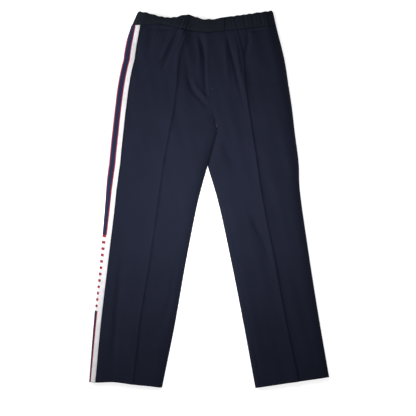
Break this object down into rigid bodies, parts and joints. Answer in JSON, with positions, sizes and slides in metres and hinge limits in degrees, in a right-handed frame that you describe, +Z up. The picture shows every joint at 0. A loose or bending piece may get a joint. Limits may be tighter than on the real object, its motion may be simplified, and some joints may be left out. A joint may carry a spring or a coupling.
{
  "type": "trousers",
  "caption": "Tailored track trousers laid flat, with a snap waist tab, zip fly, side pockets, pressed creases and striped side tapes.",
  "frame": {"origin": "middle of the footprint, on the table that the trousers lie on", "axes": "+X to the wearer's left leg, +Y to the waist, +Z up from the table through the front"},
  "size_m": [0.6752, 1.0586, 0.0287],
  "materials": {
    "suiting": "dull woven suiting",
    "side_tape": "ribbed woven tape",
    "lining": "smooth",
    "elastic": "ribbed",
    "pocketing": "plain weave",
    "label": "satin ribbon",
    "stud_metal": "nickel plated",
    "zip_tape": "ribbed",
    "zip_coil": "satin",
    "button": "satin"
  },
  "bodies": {
    "seat": {"right_front_upper": "suiting", "right_back_upper": "suiting", "right_side_tape_upper": "side_tape", "waistband_right": "suiting", "zip_tape_right": "zip_tape", "zip_teeth_right": "zip_coil", "right_pocket_front_bag": "pocketing", "right_pocket_back_bag": "pocketing", "left_front_upper": "suiting", "left_back_upper": "suiting", "left_side_tape_upper": "side_tape", "waistband_left": "suiting", "zip_tape_left": "zip_tape", "zip_teeth_left": "zip_coil", "left_pocket_front_bag": "pocketing", "left_pocket_back_bag": "pocketing", "waistband_elastic": "elastic", "waistband_lining": "lining", "size_label": "label", "waistband_stud": "stud_metal", "fly_facing": "suiting", "fly_shield": "suiting", "zip_bottom_stop": "stud_metal", "back_pocket_welt": "suiting", "back_pocket_bag": "pocketing", "back_pocket_button": "button"},
    "right_lower_leg": {"right_front_lower": "suiting", "right_back_lower": "suiting", "right_side_tape_lower": "side_tape", "right_hem_facing": "suiting"},
    "left_lower_leg": {"left_front_lower": "suiting", "left_back_lower": "suiting", "left_side_tape_lower": "side_tape", "left_hem_facing": "suiting"},
    "waist_tab": {"waist_tab": "suiting", "tab_stud_socket": "stud_metal"},
    "zip_slider": {"zip_slider": "stud_metal"},
    "zip_pull": {"zip_pull": "stud_metal"}
  },
  "joints": [
    {"name": "right_knee_fold", "type": "hinge", "parent": "seat", "child": "right_lower_leg", "pos_m": [-0.1848, -0.16448, 0.0205], "axis": [-0.9904, 0.1381, 0], "range_deg": [0, 172]},
    {"name": "left_knee_fold", "type": "hinge", "parent": "seat", "child": "left_lower_leg", "pos_m": [0.17137, -0.16237, 0.0205], "axis": [-0.9846, -0.1747, 0], "range_deg": [0, 172]},
    {"name": "tab_lift", "type": "hinge", "parent": "seat", "child": "waist_tab", "pos_m": [0.04262, 0.49363, 0.0285], "axis": [0, 1, 0], "range_deg": [0, 120]},
    {"name": "zip_slide", "type": "slide", "parent": "seat", "child": "zip_slider", "axis": [0, -1, 0], "range_m": [0, 0.134], "deforming": ["zip_teeth_right", "zip_teeth_left"]},
    {"name": "zip_pull_swing", "type": "hinge", "parent": "zip_slider", "child": "zip_pull", "pos_m": [0.01362, 0.45832, 0.02251], "axis": [-1, 0, 0], "range_deg": [0, 3.5]}
  ]
}
